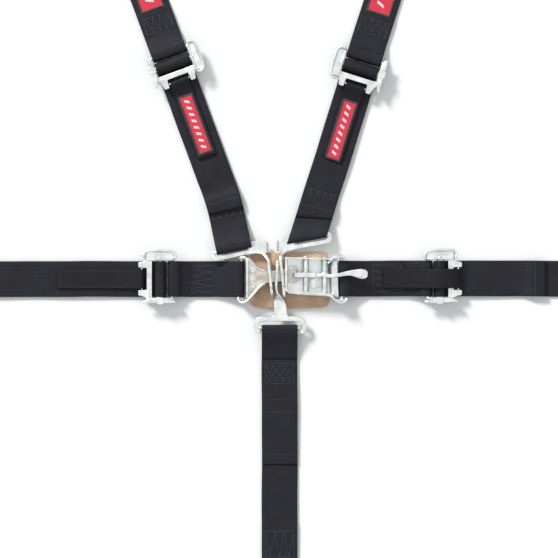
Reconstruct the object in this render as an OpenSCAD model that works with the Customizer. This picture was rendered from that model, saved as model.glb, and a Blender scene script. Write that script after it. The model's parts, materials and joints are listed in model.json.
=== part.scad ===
// Five-point racing harness with a latch-and-link buckle.
// Origin on the back face of the leather pad, +Z away from the wearer, +Y up the body.

/* [Webbing] */
// Width of the webbing
web_w = 50; // [44:1:52]
// Thickness of one ply of webbing
ply = 1.3; // [1:0.1:1.6]
// Radius of the bars that carry a webbing loop
bar_r = 2.5; // [2:0.1:2.6]
// Gap between a bar and the webbing round it
bar_gap = 0.3; // [0.2:0.05:0.4]
// Height of the bars at the buckle
bar_z = 10; // [9.5:0.5:11]

/* [Straps] */
// Length of a lap belt from its adjuster to its end bracket
lap_len = 362; // [300:1:500]
// Length of an upper shoulder strap from its adjuster to its end bracket
shoulder_len = 440; // [300:1:600]
// Length of the crotch strap from the fitting to its end bracket
crotch_len = 375; // [320:1:500]

/* [Buckle] */
// Height of the tongue's middle plane
tongue_z = 13.5; // [13.2:0.1:14]
// Thickness of the tongue
tongue_t = 2.5; // [2:0.1:2.6]
// Turn of the tongue in the plane of the pad
tongue_turn = 6; // [5:1:7]
// Thickness of the tray's sheet steel
sheet_t = 2; // [1.6:0.1:2.2]
// Radius of the two latch pins
pin_r = 3; // [2.8:0.1:3.2]
// Radius of the roller sleeves
sleeve_r = 4.2; // [4:0.1:4.5]
// Thickness of the leather pad
pad_t = 3.4; // [3:0.1:3.5]

/* [Adjusters] */
// Travel of a sliding bar
slide_gap = 1.5; // [1.4:0.1:1.8]
// Height of an adjuster's bars
adj_z = 8; // [8:0.5:9]
// Width of a pull tab
tab_w = 27; // [24:1:28]

/* [End brackets] */
// Radius of the bolt hole
bolt_r = 5.7; // [5.2:0.1:6.5]
// Thickness of the bracket plate
bracket_t = 3; // [2.5:0.1:3.5]

/* [Hidden] */
$fn = 48;
eps = 0.01;
loop_in = bar_r + bar_gap;
loop_out = loop_in + ply;
half_w = web_w / 2;
frame_half = half_w + 3;

// Places of the bars and adjusters: [x, y, angle of the strap from +X]
link_bar = [-53.5, 1.4, 180];
latch_bar = [86, 2.1, 0];
lap_adj_left = [-167.5, 1.4, 180];
lap_adj_right = [223.5, 2.1, 0];
fit_bar_left = [-64, 43.7, 102.5];
fit_bar_right = [38.3, 58, 100];
fit_bar_crotch = [-0.5, -66.5, 270];
adj_left = [-149, 301, 290.3];
adj_right = [112.4, 294, 252.6];
bend_left = 70;
skew_reach = 48;
skew_half = 3.4;
skew_trim = 1.2;
fixed_bar_x = -17;
pinch_x = [10.5, 18.5];
tab_bar_x = 25;
prong_x = 30;
slide_r = 5.5;
roll_in = slide_r + 0.8;
roll_out = roll_in + ply;
slot_r = 3.6;
hook_pin_x = 36;
lever_pin_x = 62;
lever_y = 7;
boss_w = 6.5;
ring_x = 17.5;
rivet_x = [26, 72];
rivet_y = 7;
window_half = 3.1;
rail = 3;
bracket_reach = 32;

steel = [0.8, 0.82, 0.82];
webbing = [0.14, 0.14, 0.17];
red = [0.85, 0.12, 0.18];
leather = [0.76, 0.62, 0.5];

module at(place) translate([place[0], place[1], 0]) rotate([0, 0, place[2]]) children();

// Extrudes a side profile (along the strap, up) across the webbing's width.
module across(width) rotate([90, 0, 0]) linear_extrude(height = width, center = true) children();

module rod(radius, length) rotate([90, 0, 0]) cylinder(r = radius, h = length, center = true);

module round_plate(size, corner, thickness) {
    linear_extrude(height = thickness)
        for (turn = [0, 90])
            square([size[0] - (turn == 0 ? 2 * corner : 0), size[1] - (turn == 0 ? 0 : 2 * corner)],
                center = true);
    for (sx = [-1, 1], sy = [-1, 1])
        translate([sx * (size[0] / 2 - corner), sy * (size[1] / 2 - corner), 0])
            cylinder(r = corner, h = thickness);
}

// Side profile of webbing sewn round a bar at the origin of the strap's frame and lying flat
// from reach onwards.
module loop_profile(height, reach, plies) {
    translate([0, height]) difference() {
        union() {
            circle(r = loop_out);
            polygon([[0, loop_out], [reach, plies * ply - height], [reach, -height],
                [0, -loop_out]]);
        }
        circle(r = loop_in);
    }
}

// Strap from a bar to a bar, flat on the ground between them.
module two_loop_strap(length, height_a, reach_a, height_b, reach_b, plies) across(web_w) {
    loop_profile(height_a, reach_a, 2);
    translate([reach_a - eps, 0]) square([length - reach_a - reach_b + 2 * eps, plies * ply]);
    translate([length, 0]) mirror([1, 0]) loop_profile(height_b, reach_b, 2);
}

// Webbing rolled round an adjuster's sliding bar, seen in the adjuster's own frame. The ring is
// long enough inside for the bar's travel.
module roll_profile(run) {
    translate([0, adj_z]) difference() {
        union() {
            slot_outline(roll_out);
            polygon([[0, -roll_out], [roll_out - 1, -2.5], [run, 2 * ply - adj_z],
                [run, -adj_z], [12, -adj_z]]);
        }
        slot_outline(roll_in);
    }
}

// Outline swept by a circle over a sliding bar's travel.
module slot_outline(radius) {
    for (x = [-slide_gap, 0]) translate([x, 0]) circle(r = radius);
    translate([-slide_gap, -radius]) square([slide_gap, 2 * radius]);
}

// Folded hem that ends a strap's loose tail.
module hem(position, base) translate([position, 0]) across(web_w)
    square([17, base + 2 * ply]);

module leather_pad() color(leather) difference() {
    translate([13.6, -0.65, 0]) round_plate([111, 78], 9, pad_t);
    for (x = rivet_x) translate([x, rivet_y, -1]) cylinder(r = 2, h = 10);
}

module latch_tray() color(steel) difference() {
    union() {
        translate([0, 0, pad_t]) linear_extrude(height = sheet_t)
            polygon([[7, -15.4], [70, -21.4], [80, -21.4], [80, 29.5], [70, 29.5], [7, 32]]);
        translate([7, -15.4, pad_t]) cube([3, 47.4, 16]);
        translate([0, 0, pad_t]) linear_extrude(height = 17)
            polygon([[7, -15.4], [70, -21.4], [76, -29], [91, -29], [91, -27], [77, -27],
                [71, -19.4], [7, -13.4]]);
        translate([0, 0, pad_t]) linear_extrude(height = 17)
            polygon([[7, 32], [70, 30], [76, 33.2], [91, 33.2], [91, 31.2], [77, 31.2],
                [71, 28], [7, 30]]);
    }
    translate([6, ring_tilt(8) - 13.5, tongue_z - 2.2]) cube([5, 27, 4.4]);
    for (x = [hook_pin_x, lever_pin_x]) translate([x, 0, tongue_z]) rod(pin_r, 80);
    translate([latch_bar[0], 0, bar_z]) rod(bar_r, 80);
    for (x = rivet_x) translate([x, rivet_y, 0]) cylinder(r = 2, h = 20);
}

function ring_tilt(x) = 6.3 + x * tan(tongue_turn);

module pad_rivets() color(steel) for (x = rivet_x) translate([x, rivet_y, 0.4]) {
    cylinder(r = 2, h = pad_t + sheet_t - 0.4);
    translate([0, 0, pad_t + sheet_t - 0.4]) cylinder(r = 3.5, h = 1);
}

module latch_pin(x, low, high) color(steel) translate([x, (low + high) / 2, tongue_z]) {
    rod(pin_r, high - low);
    for (s = [-1, 1]) translate([0, s * ((high - low) / 2 + 0.7), 0]) rod(4, 1.4);
}

module hook_pin() latch_pin(hook_pin_x, -18.4, 31.3);
module lever_pin() latch_pin(lever_pin_x, -20.9, 30.4);

module sleeves(x, low, high) color(steel) difference() {
    union() {
        translate([x, (low + lever_y - boss_w / 2 - 0.3) / 2, tongue_z])
            rod(sleeve_r, lever_y - boss_w / 2 - 0.3 - low);
        translate([x, (high + lever_y + boss_w / 2 + 0.3) / 2, tongue_z])
            rod(sleeve_r, high - lever_y - boss_w / 2 - 0.3);
    }
    translate([x, 0, tongue_z]) rod(pin_r, 100);
}

module hook_pin_sleeves() sleeves(hook_pin_x, -15.5, 28.5);
module lever_pin_sleeves() sleeves(lever_pin_x, -18, 27.8);

module leaf_spring() color(steel) {
    translate([40, -11, pad_t + sheet_t]) cube([16, 12, 1]);
    translate([43, -11, pad_t + sheet_t]) cube([8, 12, 5]);
}

module latch_webbing_bar() color(steel) translate([latch_bar[0], latch_bar[1], bar_z])
    rod(bar_r, 62.2);

module latch_hook() color(steel) difference() {
    union() {
        translate([hook_pin_x, lever_y, tongue_z]) rod(5.6, boss_w);
        translate([18.5, lever_y, 0]) across(boss_w)
            polygon([[0, 10.6], [4.6, 10.6], [5, 16], [17, 15], [17.5, 19], [2, 20], [0, 18]]);
        translate([hook_pin_x, lever_y, 0]) across(boss_w)
            polygon([[0, 15], [13, 15.5], [13, 18.5], [0, 19]]);
    }
    translate([hook_pin_x, lever_y, tongue_z]) rod(pin_r + 0.05, 20);
}

lever_path = [[62, 7.2], [70, 5.6], [80, 6.7], [92, 9], [104, 12.2], [112, 13.3]];
module latch_lever() color(steel) difference() {
    union() {
        translate([lever_pin_x, lever_y, tongue_z]) rod(5.8, boss_w);
        translate([lever_pin_x, lever_y, 0]) across(boss_w)
            polygon([[-9.5, 17.5], [-4, 16.5], [4, 15], [14, 17], [14, 20], [0, 21],
                [-9.5, 20.3]]);
        translate([0, 0, 17]) linear_extrude(height = 3)
            for (i = [0:len(lever_path) - 2]) polygon([
                lever_path[i] + [0, 3], lever_path[i] - [0, 3],
                lever_path[i + 1] - [0, 3], lever_path[i + 1] + [0, 3]]);
        translate([115.2, 9, 17]) cylinder(r = 7.4, h = 3);
        translate([0, 0, 17]) linear_extrude(height = 3)
            polygon([[99, 10], [112, 13], [116, 9], [113, 2], [106, 4]]);
    }
    translate([lever_pin_x, lever_y, tongue_z]) rod(pin_r + 0.05, 20);
    translate([113.5, 5.6, 16]) cylinder(r = 2, h = 6);
}

module link_tongue() color(steel) {
    translate([0, 0, tongue_z - tongue_t / 2]) linear_extrude(height = tongue_t) {
        polygon([[-46, 30.5], [-42, 30.5], [-28, 15], [-20, ring_tilt(-20) + 8],
            [16, ring_tilt(16) + 8], [16, ring_tilt(16) - 8], [-20, ring_tilt(-20) - 8],
            [-28, -9], [-42, -27.5], [-46, -27.5]]);
        difference() {
            translate([ring_x, ring_tilt(ring_x)]) circle(r = 11);
            translate([ring_x + 1, ring_tilt(ring_x)]) square([12.5, 14], center = true);
            translate([0, ring_tilt(ring_x) - 20]) square([12, 40]);
        }
    }
    for (s = [-1, 1]) translate([-57.5, 1.5 + s * 28.6 - 1, tongue_z - 7]) cube([15.5, 2.2, 8.2]);
    translate([link_bar[0], 1.5, bar_z]) rod(bar_r, 57.4);
}

// Upright loop that rides on the tongue, in the tongue's own turned frame.
module tongue_loop(a, top, bottom, low) translate([0, 6.3, 0]) rotate([0, 0, tongue_turn])
    translate([a, 0, tongue_z]) rotate([90, 0, 90]) translate([0, 0, -1.25])
        linear_extrude(height = 2.5) difference() {
            union() {
                translate([bottom + window_half + rail, 0]) circle(r = window_half + rail);
                translate([bottom + window_half + rail, -window_half - rail])
                    square([12 - bottom, 2 * (window_half + rail)]);
                polygon([[12, -6.1], [top, low - tongue_z], [top, low + 3 - tongue_z],
                    [18, 6.1], [12, 6.1]]);
            }
            translate([-13, -window_half]) square([26, 2 * window_half]);
            for (s = [-13, 13]) translate([s, 0]) circle(r = window_half);
        }

// Flat end of a fitting: two rails, two cheeks and the round bar that carries the webbing.
module web_end(rail_near, cheek) {
    for (s = [-1, 1]) translate([0, s * (half_w + 0.6 + cheek / 2), bar_z]) {
        translate([-rail_near / 2 - 1, 0, 0]) cube([rail_near + 5, cheek, 5], center = true);
    }
    translate([-rail_near - 3.5, -half_w - 0.6 - cheek, bar_z - 1.25])
        cube([7, web_w + 1.2 + 2 * cheek, 2.5]);
    translate([0, 0, bar_z]) rod(bar_r, web_w + 2);
}

module shoulder_fitting_left() color(steel) {
    at(fit_bar_left) web_end(9, 4);
    tongue_loop(-14, 40, -27, 9);
    translate([0, 0, bar_z - 1.25]) linear_extrude(height = 2.5)
        polygon([[-37, 31], [-31, 33], [-24, 28], [-17, 20], [-15.5, 42], [-21, 53], [-35, 55]]);
}

module shoulder_fitting_right() color(steel) {
    at(fit_bar_right) web_end(9, 4);
    tongue_loop(3, 45, -31, 9);
    translate([0, 0, bar_z - 1.25]) linear_extrude(height = 2.5)
        polygon([[10.5, 60], [4, 60], [-1, 55], [-2.4, 46], [-0.6, 27], [4, 38], [10, 42],
            [15.5, 43], [12.5, 49]]);
}

module crotch_fitting() color(steel) {
    at(fit_bar_crotch) web_end(10, 4);
    mirror([0, 1, 0]) translate([0, -12.4, 0]) crotch_blade();
    translate([0, 0, bar_z - 1.25]) linear_extrude(height = 2.5)
        polygon([[-7, -30], [5, -30], [7.5, -40], [11, -53], [-13, -53], [-9, -40]]);
}

module crotch_blade() translate([0, 6.3, 0]) rotate([0, 0, -tongue_turn / 2])
    translate([-4.5, 0, tongue_z]) rotate([90, 0, 90]) translate([0, 0, -1.25])
        linear_extrude(height = 2.5) difference() {
            union() {
                translate([-16, 0]) circle(r = window_half + rail);
                translate([-16, -window_half - rail]) square([30, 2 * (window_half + rail)]);
                polygon([[13, -6.1], [34, -4.8], [34, -2.2], [20, 6.1], [13, 6.1]]);
            }
            translate([-13, -window_half]) square([26, 2 * window_half]);
            for (s = [-13, 13]) translate([s, 0]) circle(r = window_half);
        }

module lap_loop(bar, adjuster) color(webbing) at(bar) two_loop_strap(
    abs(adjuster[0] - bar[0]) + fixed_bar_x, bar_z, 40, adj_z, 28, 2);

module lap_loop_left() lap_loop(link_bar, lap_adj_left);
module lap_loop_right() lap_loop(latch_bar, lap_adj_right);

// Webbing from an adjuster's sliding bar out to a bar at a distance.
module rolled_strap(length, tail) {
    across(web_w) {
        roll_profile(42);
        translate([42 - eps, 0]) square([tail - 42 + 2 * eps, 2 * ply]);
        translate([42 - eps, 0]) square([length - 42 - 40 + 2 * eps, ply]);
        translate([length, 0]) mirror([1, 0]) loop_profile(bar_z, 40, 1);
    }
    hem(tail, 2 * ply);
}

module lap_belt_left() color(webbing) at(lap_adj_left) rolled_strap(lap_len, 260);
module lap_belt_right() color(webbing) at(lap_adj_right) rolled_strap(lap_len, 128);

// Lower shoulder strap: a sewn loop at the fitting, a small turn in its plane, then flat to the
// adjuster, where it rolls round the sliding bar.
module shoulder_lower(bar, adjuster, first, tail) {
    at(bar) across(web_w) {
        loop_profile(bar_z, first, 2);
    }
    turn = adjuster[2] - 180 - bar[2];
    corner = [bar[0] + first * cos(bar[2]), bar[1] + first * sin(bar[2])];
    run = norm([adjuster[0], adjuster[1]] - corner);
    translate([corner[0], corner[1], 0]) cylinder(r = half_w * 0.94, h = 2 * ply);
    at(adjuster) {
        across(web_w) {
            roll_profile(42);
            translate([42 - eps, 0]) square([run - 42 + eps, 2 * ply]);
        }
        hem(tail, 2 * ply);
    }
}

module shoulder_lower_left() color(webbing)
    shoulder_lower(fit_bar_left, adj_left, bend_left, 198);

// The right strap leaves its bar at a slant, so its first stretch is a skewed
// plan cut from a tapering band.
module shoulder_lower_right() color(webbing) {
    run = norm([adj_right[0] - fit_bar_right[0], adj_right[1] - fit_bar_right[1]]);
    slant = fit_bar_right[2] + 90 - adj_right[2];
    along = (half_w - skew_trim) * cos(slant);
    aside = (half_w - skew_trim) * sin(slant);
    difference() {
        union() {
            at(fit_bar_right) translate([0, 0, bar_z]) rod(loop_out, web_w);
            at(adj_right) intersection() {
                linear_extrude(height = bar_z + loop_out)
                    polygon([[run - skew_reach, -half_w], [run + along, aside],
                        [run - along, -aside], [run - skew_reach, half_w]]);
                across(web_w + 4)
                    polygon([[run - skew_reach, 0], [run - 12, bar_z - skew_half],
                        [run + 12, bar_z - skew_half], [run + 12, bar_z + skew_half],
                        [run - 12, bar_z + skew_half], [run - skew_reach, 2 * ply]]);
            }
        }
        at(fit_bar_right) translate([0, 0, bar_z]) rod(loop_in, web_w + 30);
    }
    at(adj_right) {
        across(web_w) {
            roll_profile(42);
            translate([42 - eps, 0]) square([run - skew_reach - 42 + 1, 2 * ply]);
        }
        hem(200, 2 * ply);
    }
}

module shoulder_upper(adjuster) color(webbing) at(adjuster) translate([fixed_bar_x, 0, 0])
    rotate([0, 0, 180]) two_loop_strap(shoulder_len, adj_z, 28, bar_z, 40, 1);

module shoulder_upper_left() shoulder_upper(adj_left);
module shoulder_upper_right() shoulder_upper(adj_right);

module crotch_strap() color(webbing) at(fit_bar_crotch)
    two_loop_strap(crotch_len, bar_z, 40, bar_z, 40, 2);

// Stamped adjuster frame. +X is the side of the pull tab.
module adjuster_frame() color(steel) {
    for (s = [-1, 1]) difference() {
        translate([0, s * (frame_half - 0.8), 0]) rotate([90, 0, 0])
            linear_extrude(height = 2, center = true)
                polygon([[-22, 5], [-18, 2], [-12, 1], [8, 1], [17, 6], [20, 9], [20, 13],
                    [16, 15.5], [-16, 15.5], [-22, 11]]);
        for (x = [-slide_gap, 0]) translate([x, s * frame_half, adj_z]) rod(slot_r, 8);
        translate([-slide_gap, s * frame_half - 4, adj_z - slot_r])
            cube([slide_gap, 8, 2 * slot_r]);
    }
    for (s = [-1, 1]) translate([-18, s * (frame_half + 4.4) - 4.2, 13.5]) cube([36, 8.4, 2]);
    translate([fixed_bar_x, 0, adj_z]) rod(bar_r, 2 * frame_half - 2);
    translate([pinch_x[0], -frame_half, 9.5]) cube([pinch_x[1] - pinch_x[0], 2 * frame_half, 2.5]);
    for (s = [-1, 1]) translate([pinch_x[1] - 1, s * 18 - 3.6, 9.5])
        cube([prong_x - pinch_x[1] + 1, 7.2, 2.5]);
    translate([tab_bar_x, 0, 10.75]) rod(1.25, 30);
}

module slide_bar() color(steel) translate([0, 0, adj_z]) {
    rod(slide_r, 2 * frame_half - 4);
    rod(slot_r - 0.05, 2 * frame_half + 3);
    for (s = [-1, 1]) translate([0, s * (frame_half + 1.8), 0]) rod(5, 1.4);
}

// Narrow pull tab looped round the thin bar between the prongs.
module pull_tab(length) color(webbing) translate([tab_bar_x, 0, 0]) across(tab_w) {
    translate([0, 10.75]) difference() {
        union() {
            circle(r = 2.8);
            polygon([[0, 2.8], [20, -4.4], [20, -6.9], [0, -2.8]]);
        }
        circle(r = 1.5);
    }
    translate([20 - eps, 3.85]) square([length - 20, 2.5]);
}

// The right lap tab is folded back over its adjuster.
module folded_tab(length) color(webbing) translate([tab_bar_x, 0, 0]) across(tab_w) {
    translate([0, 10.75]) difference() {
        union() {
            circle(r = 2.8);
            polygon([[0, 2.8], [-8, 8], [-20, 9], [-20, 6.2], [-8, 5.2], [-2.8, 0]]);
        }
        circle(r = 1.5);
    }
    polygon([[-20 + eps, 19.75], [-34, 19], [-58, 12.3], [-length, 7.4], [-length, 4.8],
        [-58, 9.7], [-34, 16.4], [-20 + eps, 16.95]]);
}

module adjuster_lap_left() at(lap_adj_left) adjuster_frame();
module adjuster_lap_right() at(lap_adj_right) adjuster_frame();
module adjuster_shoulder_left() at(adj_left) adjuster_frame();
module adjuster_shoulder_right() at(adj_right) adjuster_frame();

module slide_bar_lap_left() at(lap_adj_left) slide_bar();
module slide_bar_lap_right() at(lap_adj_right) slide_bar();
module slide_bar_shoulder_left() at(adj_left) slide_bar();
module slide_bar_shoulder_right() at(adj_right) slide_bar();

module pull_tab_lap_left() at(lap_adj_left) pull_tab(119);
module pull_tab_lap_right() at(lap_adj_right) folded_tab(105);
module pull_tab_shoulder_left() at(adj_left) pull_tab(112);
module pull_tab_shoulder_right() at(adj_right) pull_tab(106);

module tab_label() color(red) translate([46, -10.5, 6.35]) cube([86, 21, 0.8]);
module tab_label_left() at(adj_left) tab_label();
module tab_label_right() at(adj_right) tab_label();

module strap_label() color(red) translate([fixed_bar_x - 65 - 110, -17, ply]) cube([110, 34, 0.8]);
module strap_label_left() at(adj_left) strap_label();
module strap_label_right() at(adj_right) strap_label();

// Bolt-in end bracket: its webbing bar is at the strap's end.
module end_bracket() color(steel) translate([0, 0, bar_z]) difference() {
    union() {
        rod(bar_r, web_w + 2);
        for (s = [-1, 1]) translate([-3, s * 28 - 2.4, -2.5]) cube([16, 4.8, 5]);
        translate([0, 0, -bracket_t / 2]) linear_extrude(height = bracket_t)
            polygon([[8, -30.4], [13, -30.4], [40, -12], [40, 12], [13, 30.4], [8, 30.4]]);
        translate([bracket_reach, 0, -bracket_t / 2]) cylinder(r = 14, h = bracket_t);
    }
    translate([bracket_reach, 0, 0]) cylinder(r = bolt_r, h = 20, center = true);
}

module bracket_lap_left() at(lap_adj_left) translate([lap_len, 0, 0]) end_bracket();
module bracket_lap_right() at(lap_adj_right) translate([lap_len, 0, 0]) end_bracket();
module shoulder_bracket(place) at(place) translate([fixed_bar_x - shoulder_len, 0, 0])
    rotate([0, 0, 180]) end_bracket();
module bracket_shoulder_left() shoulder_bracket(adj_left);
module bracket_shoulder_right() shoulder_bracket(adj_right);
module bracket_crotch() at(fit_bar_crotch) translate([crotch_len, 0, 0]) end_bracket();

leather_pad();
latch_tray();
pad_rivets();
hook_pin();
lever_pin();
hook_pin_sleeves();
lever_pin_sleeves();
leaf_spring();
latch_webbing_bar();
latch_hook();
latch_lever();
link_tongue();
shoulder_fitting_left();
shoulder_fitting_right();
crotch_fitting();
lap_loop_left();
lap_loop_right();
lap_belt_left();
lap_belt_right();
shoulder_lower_left();
shoulder_lower_right();
shoulder_upper_left();
shoulder_upper_right();
crotch_strap();
adjuster_lap_left();
adjuster_lap_right();
adjuster_shoulder_left();
adjuster_shoulder_right();
slide_bar_lap_left();
slide_bar_lap_right();
slide_bar_shoulder_left();
slide_bar_shoulder_right();
pull_tab_lap_left();
pull_tab_lap_right();
pull_tab_shoulder_left();
pull_tab_shoulder_right();
tab_label_left();
tab_label_right();
strap_label_left();
strap_label_right();
bracket_lap_left();
bracket_lap_right();
bracket_shoulder_left();
bracket_shoulder_right();
bracket_crotch();
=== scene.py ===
import bpy
import bmesh
import json
import math
import numpy as np
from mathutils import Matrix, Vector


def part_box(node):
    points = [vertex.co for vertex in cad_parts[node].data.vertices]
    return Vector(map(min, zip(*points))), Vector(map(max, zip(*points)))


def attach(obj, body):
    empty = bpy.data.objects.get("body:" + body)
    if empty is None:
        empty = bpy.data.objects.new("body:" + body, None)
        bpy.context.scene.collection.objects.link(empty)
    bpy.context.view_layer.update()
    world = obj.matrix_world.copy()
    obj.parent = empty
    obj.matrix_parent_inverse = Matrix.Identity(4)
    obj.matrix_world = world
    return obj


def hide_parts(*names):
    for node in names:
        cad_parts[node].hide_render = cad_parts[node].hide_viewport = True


# Racing harness: black webbing, zinc-plated fittings and a suede pad, laid out flat.
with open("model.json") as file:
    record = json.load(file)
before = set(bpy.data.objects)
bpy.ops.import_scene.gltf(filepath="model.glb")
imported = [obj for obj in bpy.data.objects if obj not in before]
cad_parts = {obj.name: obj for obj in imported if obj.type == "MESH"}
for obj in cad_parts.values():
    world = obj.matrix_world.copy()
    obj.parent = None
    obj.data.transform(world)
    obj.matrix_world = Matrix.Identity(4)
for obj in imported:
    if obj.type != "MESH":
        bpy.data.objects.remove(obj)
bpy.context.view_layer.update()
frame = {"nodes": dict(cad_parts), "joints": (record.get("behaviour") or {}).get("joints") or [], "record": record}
mm = 0.001
jointByName = {j["name"]: j for j in frame["joints"]}

camera = {"height": 2.4, "sensor": 36.0, "view": 0.7812, "x": -0.0014, "y": 0.0014}


def placeOf(jointName, sign=1):
    # (x, y, height, angle) of a bar in mm, from its hinge; the angle is the strap's from +X
    j = jointByName[jointName]
    x, y, z = [c / mm for c in j["pos_m"]]
    ax, ay = j["axis"][0] * sign, j["axis"][1] * sign
    return x, y, z, math.atan2(-ax, ay)


def makeCamera():
    data = bpy.data.cameras.new("camera")
    data.sensor_width = camera["sensor"]
    data.lens = camera["sensor"] * camera["height"] / camera["view"]
    data.clip_end = 20
    obj = bpy.data.objects.new("camera", data)
    obj.location = (camera["x"], camera["y"], camera["height"])
    bpy.context.scene.collection.objects.link(obj)
    bpy.context.scene.camera = obj


makeCamera()
print("camera placed")

# materials


def hexColour(text):
    # sRGB hex to linear RGBA
    parts = [int(text[i:i + 2], 16) / 255 for i in (0, 2, 4)]
    line = [c / 12.92 if c <= 0.04045 else ((c + 0.055) / 1.055) ** 2.4 for c in parts]
    return (*line, 1.0)


def addNode(tree, kind, settings=None, links=None):
    # settings go to sockets by name or number, or to the node's own properties; links are sockets
    node = tree.nodes.new(kind)
    for key, value in (settings or {}).items():
        if isinstance(key, int) or key in node.inputs:
            node.inputs[key].default_value = value
        else:
            setattr(node, key, value)
    for key, source in (links or {}).items():
        tree.links.new(source, node.inputs[key])
    return node


def newMaterial(name, settings):
    mat = bpy.data.materials.new(name)
    mat.use_nodes = True
    tree = mat.node_tree
    shader = tree.nodes["Principled BSDF"]
    for key, value in settings.items():
        shader.inputs[key].default_value = value
    return mat, tree, shader


def ramp(tree, source, stops):
    node = addNode(tree, "ShaderNodeValToRGB", None, {"Fac": source})
    band = node.color_ramp
    band.elements[0].position, band.elements[0].color = stops[0]
    band.elements[1].position, band.elements[1].color = stops[-1]
    for position, colour in stops[1:-1]:
        band.elements.new(position).color = colour
    return node.outputs["Color"]


def noise(tree, place, scale, detail=2.0, rough=0.5):
    return addNode(tree, "ShaderNodeTexNoise", {"Scale": scale, "Detail": detail,
                   "Roughness": rough}, {"Vector": place}).outputs["Fac"]


def mixAdd(tree, a, factor, b):
    # a times factor plus b
    return addNode(tree, "ShaderNodeMath", {"operation": "MULTIPLY_ADD", 1: factor},
                   {0: a, 2: b}).outputs[0]


def finishShader(tree, shader, colour, height=None, strength=0.0, distance=0.0):
    tree.links.new(colour, shader.inputs["Base Color"])
    if height is not None:
        bump = addNode(tree, "ShaderNodeBump", {"Strength": strength, "Distance": distance},
                       {"Height": height})
        tree.links.new(bump.outputs["Normal"], shader.inputs["Normal"])


def wovenWebbing(name, dark, light, ribMm, rough):
    # Polyester belt webbing: black, satin, with a fine crosswise rib and a lengthwise warp.
    # The real rib is about 0.9 mm; it is drawn coarser so that it shows.
    mat, tree, shader = newMaterial(name, {
        "Roughness": rough, "IOR": 1.55, "Sheen Weight": 0.08, "Sheen Roughness": 0.4,
        "Specular IOR Level": 0.22})
    shader.inputs["Sheen Tint"].default_value = hexColour("9a9cb0")
    uv = addNode(tree, "ShaderNodeUVMap", {"uv_map": "along"}).outputs["UV"]
    wave = math.tau / 20
    ribs = addNode(tree, "ShaderNodeTexWave", {
        "bands_direction": "X", "Scale": wave / (ribMm * mm), "Distortion": 0.6, "Detail": 1.5,
        "Detail Scale": 1.2}, {"Vector": uv})
    warps = addNode(tree, "ShaderNodeTexWave", {
        "bands_direction": "Y", "Scale": wave / (1.9 * mm), "Distortion": 0.3}, {"Vector": uv})
    weave = addNode(tree, "ShaderNodeMath", {"operation": "MULTIPLY"},
                    {0: ribs.outputs["Fac"], 1: warps.outputs["Fac"]}).outputs[0]
    blend = mixAdd(tree, weave, 0.45, noise(tree, uv, 35.0, 5.0, 0.65))
    colour = ramp(tree, blend, [(0.3, hexColour(dark)), (1.0, hexColour(light))])
    height = mixAdd(tree, noise(tree, uv, 900.0), 0.35, weave)
    finishShader(tree, shader, colour, height, 0.55, 0.0005)
    return mat


def zincPlate(name, colour, rough):
    # Bright zinc on stamped mild steel: pale blue-grey metal, softly mottled, with faint
    # rolling marks and duller patches.
    mat, tree, shader = newMaterial(name, {"Metallic": 1.0})
    place = addNode(tree, "ShaderNodeTexCoord").outputs["Object"]
    patches = noise(tree, place, 70.0, 4.0, 0.6)
    tint = ramp(tree, patches, [
        (0.2, hexColour("b4bdc2")), (0.45, hexColour(colour)), (0.8, hexColour("f2f4f2"))])
    dull = addNode(tree, "ShaderNodeMapRange", {
        "From Min": 0.3, "From Max": 0.75, "To Min": rough - 0.08, "To Max": rough + 0.14},
        {"Value": patches})
    tree.links.new(dull.outputs[0], shader.inputs["Roughness"])
    finishShader(tree, shader, tint, noise(tree, place, 1400.0, 3.0), 0.25, 0.0002)
    return mat


def suedeLeather():
    # Split leather, rough side out: tan, matt, with a short nap and darker handled patches.
    mat, tree, shader = newMaterial("suede split leather", {
        "Roughness": 0.92, "IOR": 1.5, "Sheen Weight": 0.5, "Sheen Roughness": 0.6,
        "Specular IOR Level": 0.2})
    shader.inputs["Sheen Tint"].default_value = hexColour("e6c9a8")
    place = addNode(tree, "ShaderNodeTexCoord").outputs["Object"]
    nap = noise(tree, place, 650.0, 4.0, 0.7)
    mixed = mixAdd(tree, nap, 0.35, noise(tree, place, 45.0, 6.0, 0.65))
    colour = ramp(tree, mixed, [
        (0.45, hexColour("b5967b")), (0.7, hexColour("d0ae92")), (0.95, hexColour("e4ccb4"))])
    finishShader(tree, shader, colour, nap, 0.6, 0.0006)
    return mat


def wovenLabel():
    # Damask label: bright red polyester satin with a fine weave.
    mat, tree, shader = newMaterial("red woven label", {
        "Roughness": 0.6, "IOR": 1.5, "Sheen Weight": 0.3, "Specular IOR Level": 0.35})
    uv = addNode(tree, "ShaderNodeUVMap", {"uv_map": "along"}).outputs["UV"]
    threads = addNode(tree, "ShaderNodeTexWave", {
        "bands_direction": "X", "Scale": math.tau / 20 / (1.3 * mm)}, {"Vector": uv}).outputs["Fac"]
    mixed = mixAdd(tree, threads, 0.5, noise(tree, uv, 400.0, 3.0))
    colour = ramp(tree, mixed, [(0.2, hexColour("c4142c")), (1.0, hexColour("ee3a50"))])
    finishShader(tree, shader, colour, threads, 0.4, 0.0003)
    return mat


def sewingThread(name, colour, pale):
    # Bonded polyester thread: slightly shiny twisted strands.
    mat, tree, shader = newMaterial(name, {"Roughness": 0.55, "IOR": 1.55, "Sheen Weight": 0.2})
    place = addNode(tree, "ShaderNodeTexCoord").outputs["Object"]
    strands = noise(tree, place, 1500.0)
    finishShader(tree, shader, ramp(tree, strands, [(0.3, hexColour(colour)),
                                                    (0.75, hexColour(pale))]))
    return mat


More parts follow.
